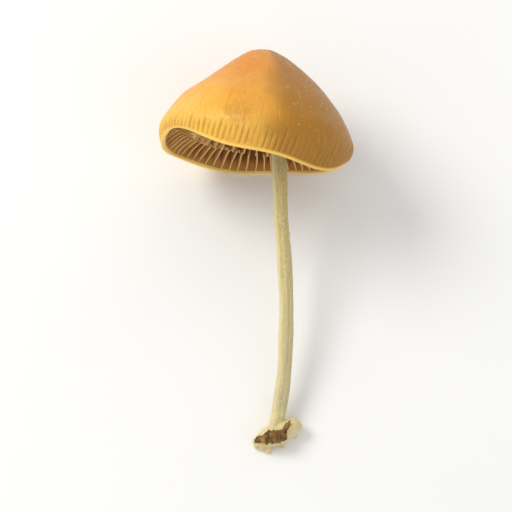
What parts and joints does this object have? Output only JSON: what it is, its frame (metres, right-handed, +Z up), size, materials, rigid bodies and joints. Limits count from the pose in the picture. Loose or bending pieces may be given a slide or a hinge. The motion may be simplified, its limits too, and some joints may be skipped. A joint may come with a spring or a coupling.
{
  "type": "ink cap mushroom",
  "caption": "Slender ink cap mushroom as picked, lying on its side: a broad bell cap with a pleated margin over radial gills, on a thin ridged stem with a lobed foot and clinging soil.",
  "frame": {"origin": "on the surface that the mushroom lies on, under the middle of its bounding box", "axes": "+Y from the foot towards the cap, +Z up, +X to the right seen from the foot"},
  "size_m": [0.0486, 0.0976, 0.0478],
  "materials": {
    "cap_flesh": "satin",
    "gill_flesh": "matte",
    "stem_flesh": "matte",
    "soil": "matte"
  },
  "bodies": {
    "root": {"cap": "cap_flesh", "gills": "gill_flesh", "stem": "stem_flesh", "soil": "soil"}
  },
  "joints": []
}
